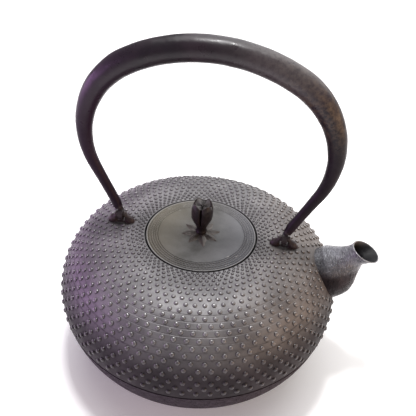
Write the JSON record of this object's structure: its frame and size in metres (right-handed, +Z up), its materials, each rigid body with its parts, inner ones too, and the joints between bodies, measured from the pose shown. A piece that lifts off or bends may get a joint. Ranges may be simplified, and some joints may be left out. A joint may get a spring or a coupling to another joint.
{
  "type": "cast iron teapot",
  "caption": "Round cast iron tetsubin kettle with dotted walls, a short flared spout, a hooped handle hooked on two lugs and a flush lid with a bud knob.",
  "frame": {"origin": "centre of the flat base, on the table", "axes": "+Z up, +X towards the spout, the lugs and the handle's hoop stand along X, +Y away from the viewer of the open hooks"},
  "size_m": [0.2149, 0.1922, 0.233],
  "materials": {
    "body_iron": "dark grey cast iron with raised dots, tinted brown and purple by lacquer",
    "spout_iron": "brushed blue-grey iron, rough ripples along the curve",
    "dark_iron": "very dark brown lacquered casting, satin",
    "handle_iron": "dark purple-brown lacquer on wrought iron, satin with brown wear",
    "lid_iron": "brushed grey-brown iron with fine rings"
  },
  "bodies": {
    "kettle": {"kettle_body": "body_iron", "spout": "spout_iron", "lug_left": "dark_iron", "lug_right": "dark_iron"},
    "handle": {"handle_tube": "handle_iron", "handle_hook_left": "handle_iron", "handle_hook_right": "handle_iron"},
    "lid": {"lid": "lid_iron", "knob_seat": "dark_iron", "rivet_washer": "dark_iron"},
    "knob": {"knob": "dark_iron"}
  },
  "joints": [
    {"name": "handle_tilt", "type": "hinge", "parent": "kettle", "child": "handle", "pos_m": [0, 0, 0.105], "axis": [1, 0, 0], "range_deg": [-92.6, 101.3]},
    {"name": "lid_lift", "type": "slide", "parent": "kettle", "child": "lid", "axis": [0, 0, 1], "range_m": [0, 0.06]},
    {"name": "knob_spin", "type": "hinge", "parent": "lid", "child": "knob", "pos_m": [0, 0, 0.1], "axis": [0, 0, 1], "continuous": true}
  ]
}
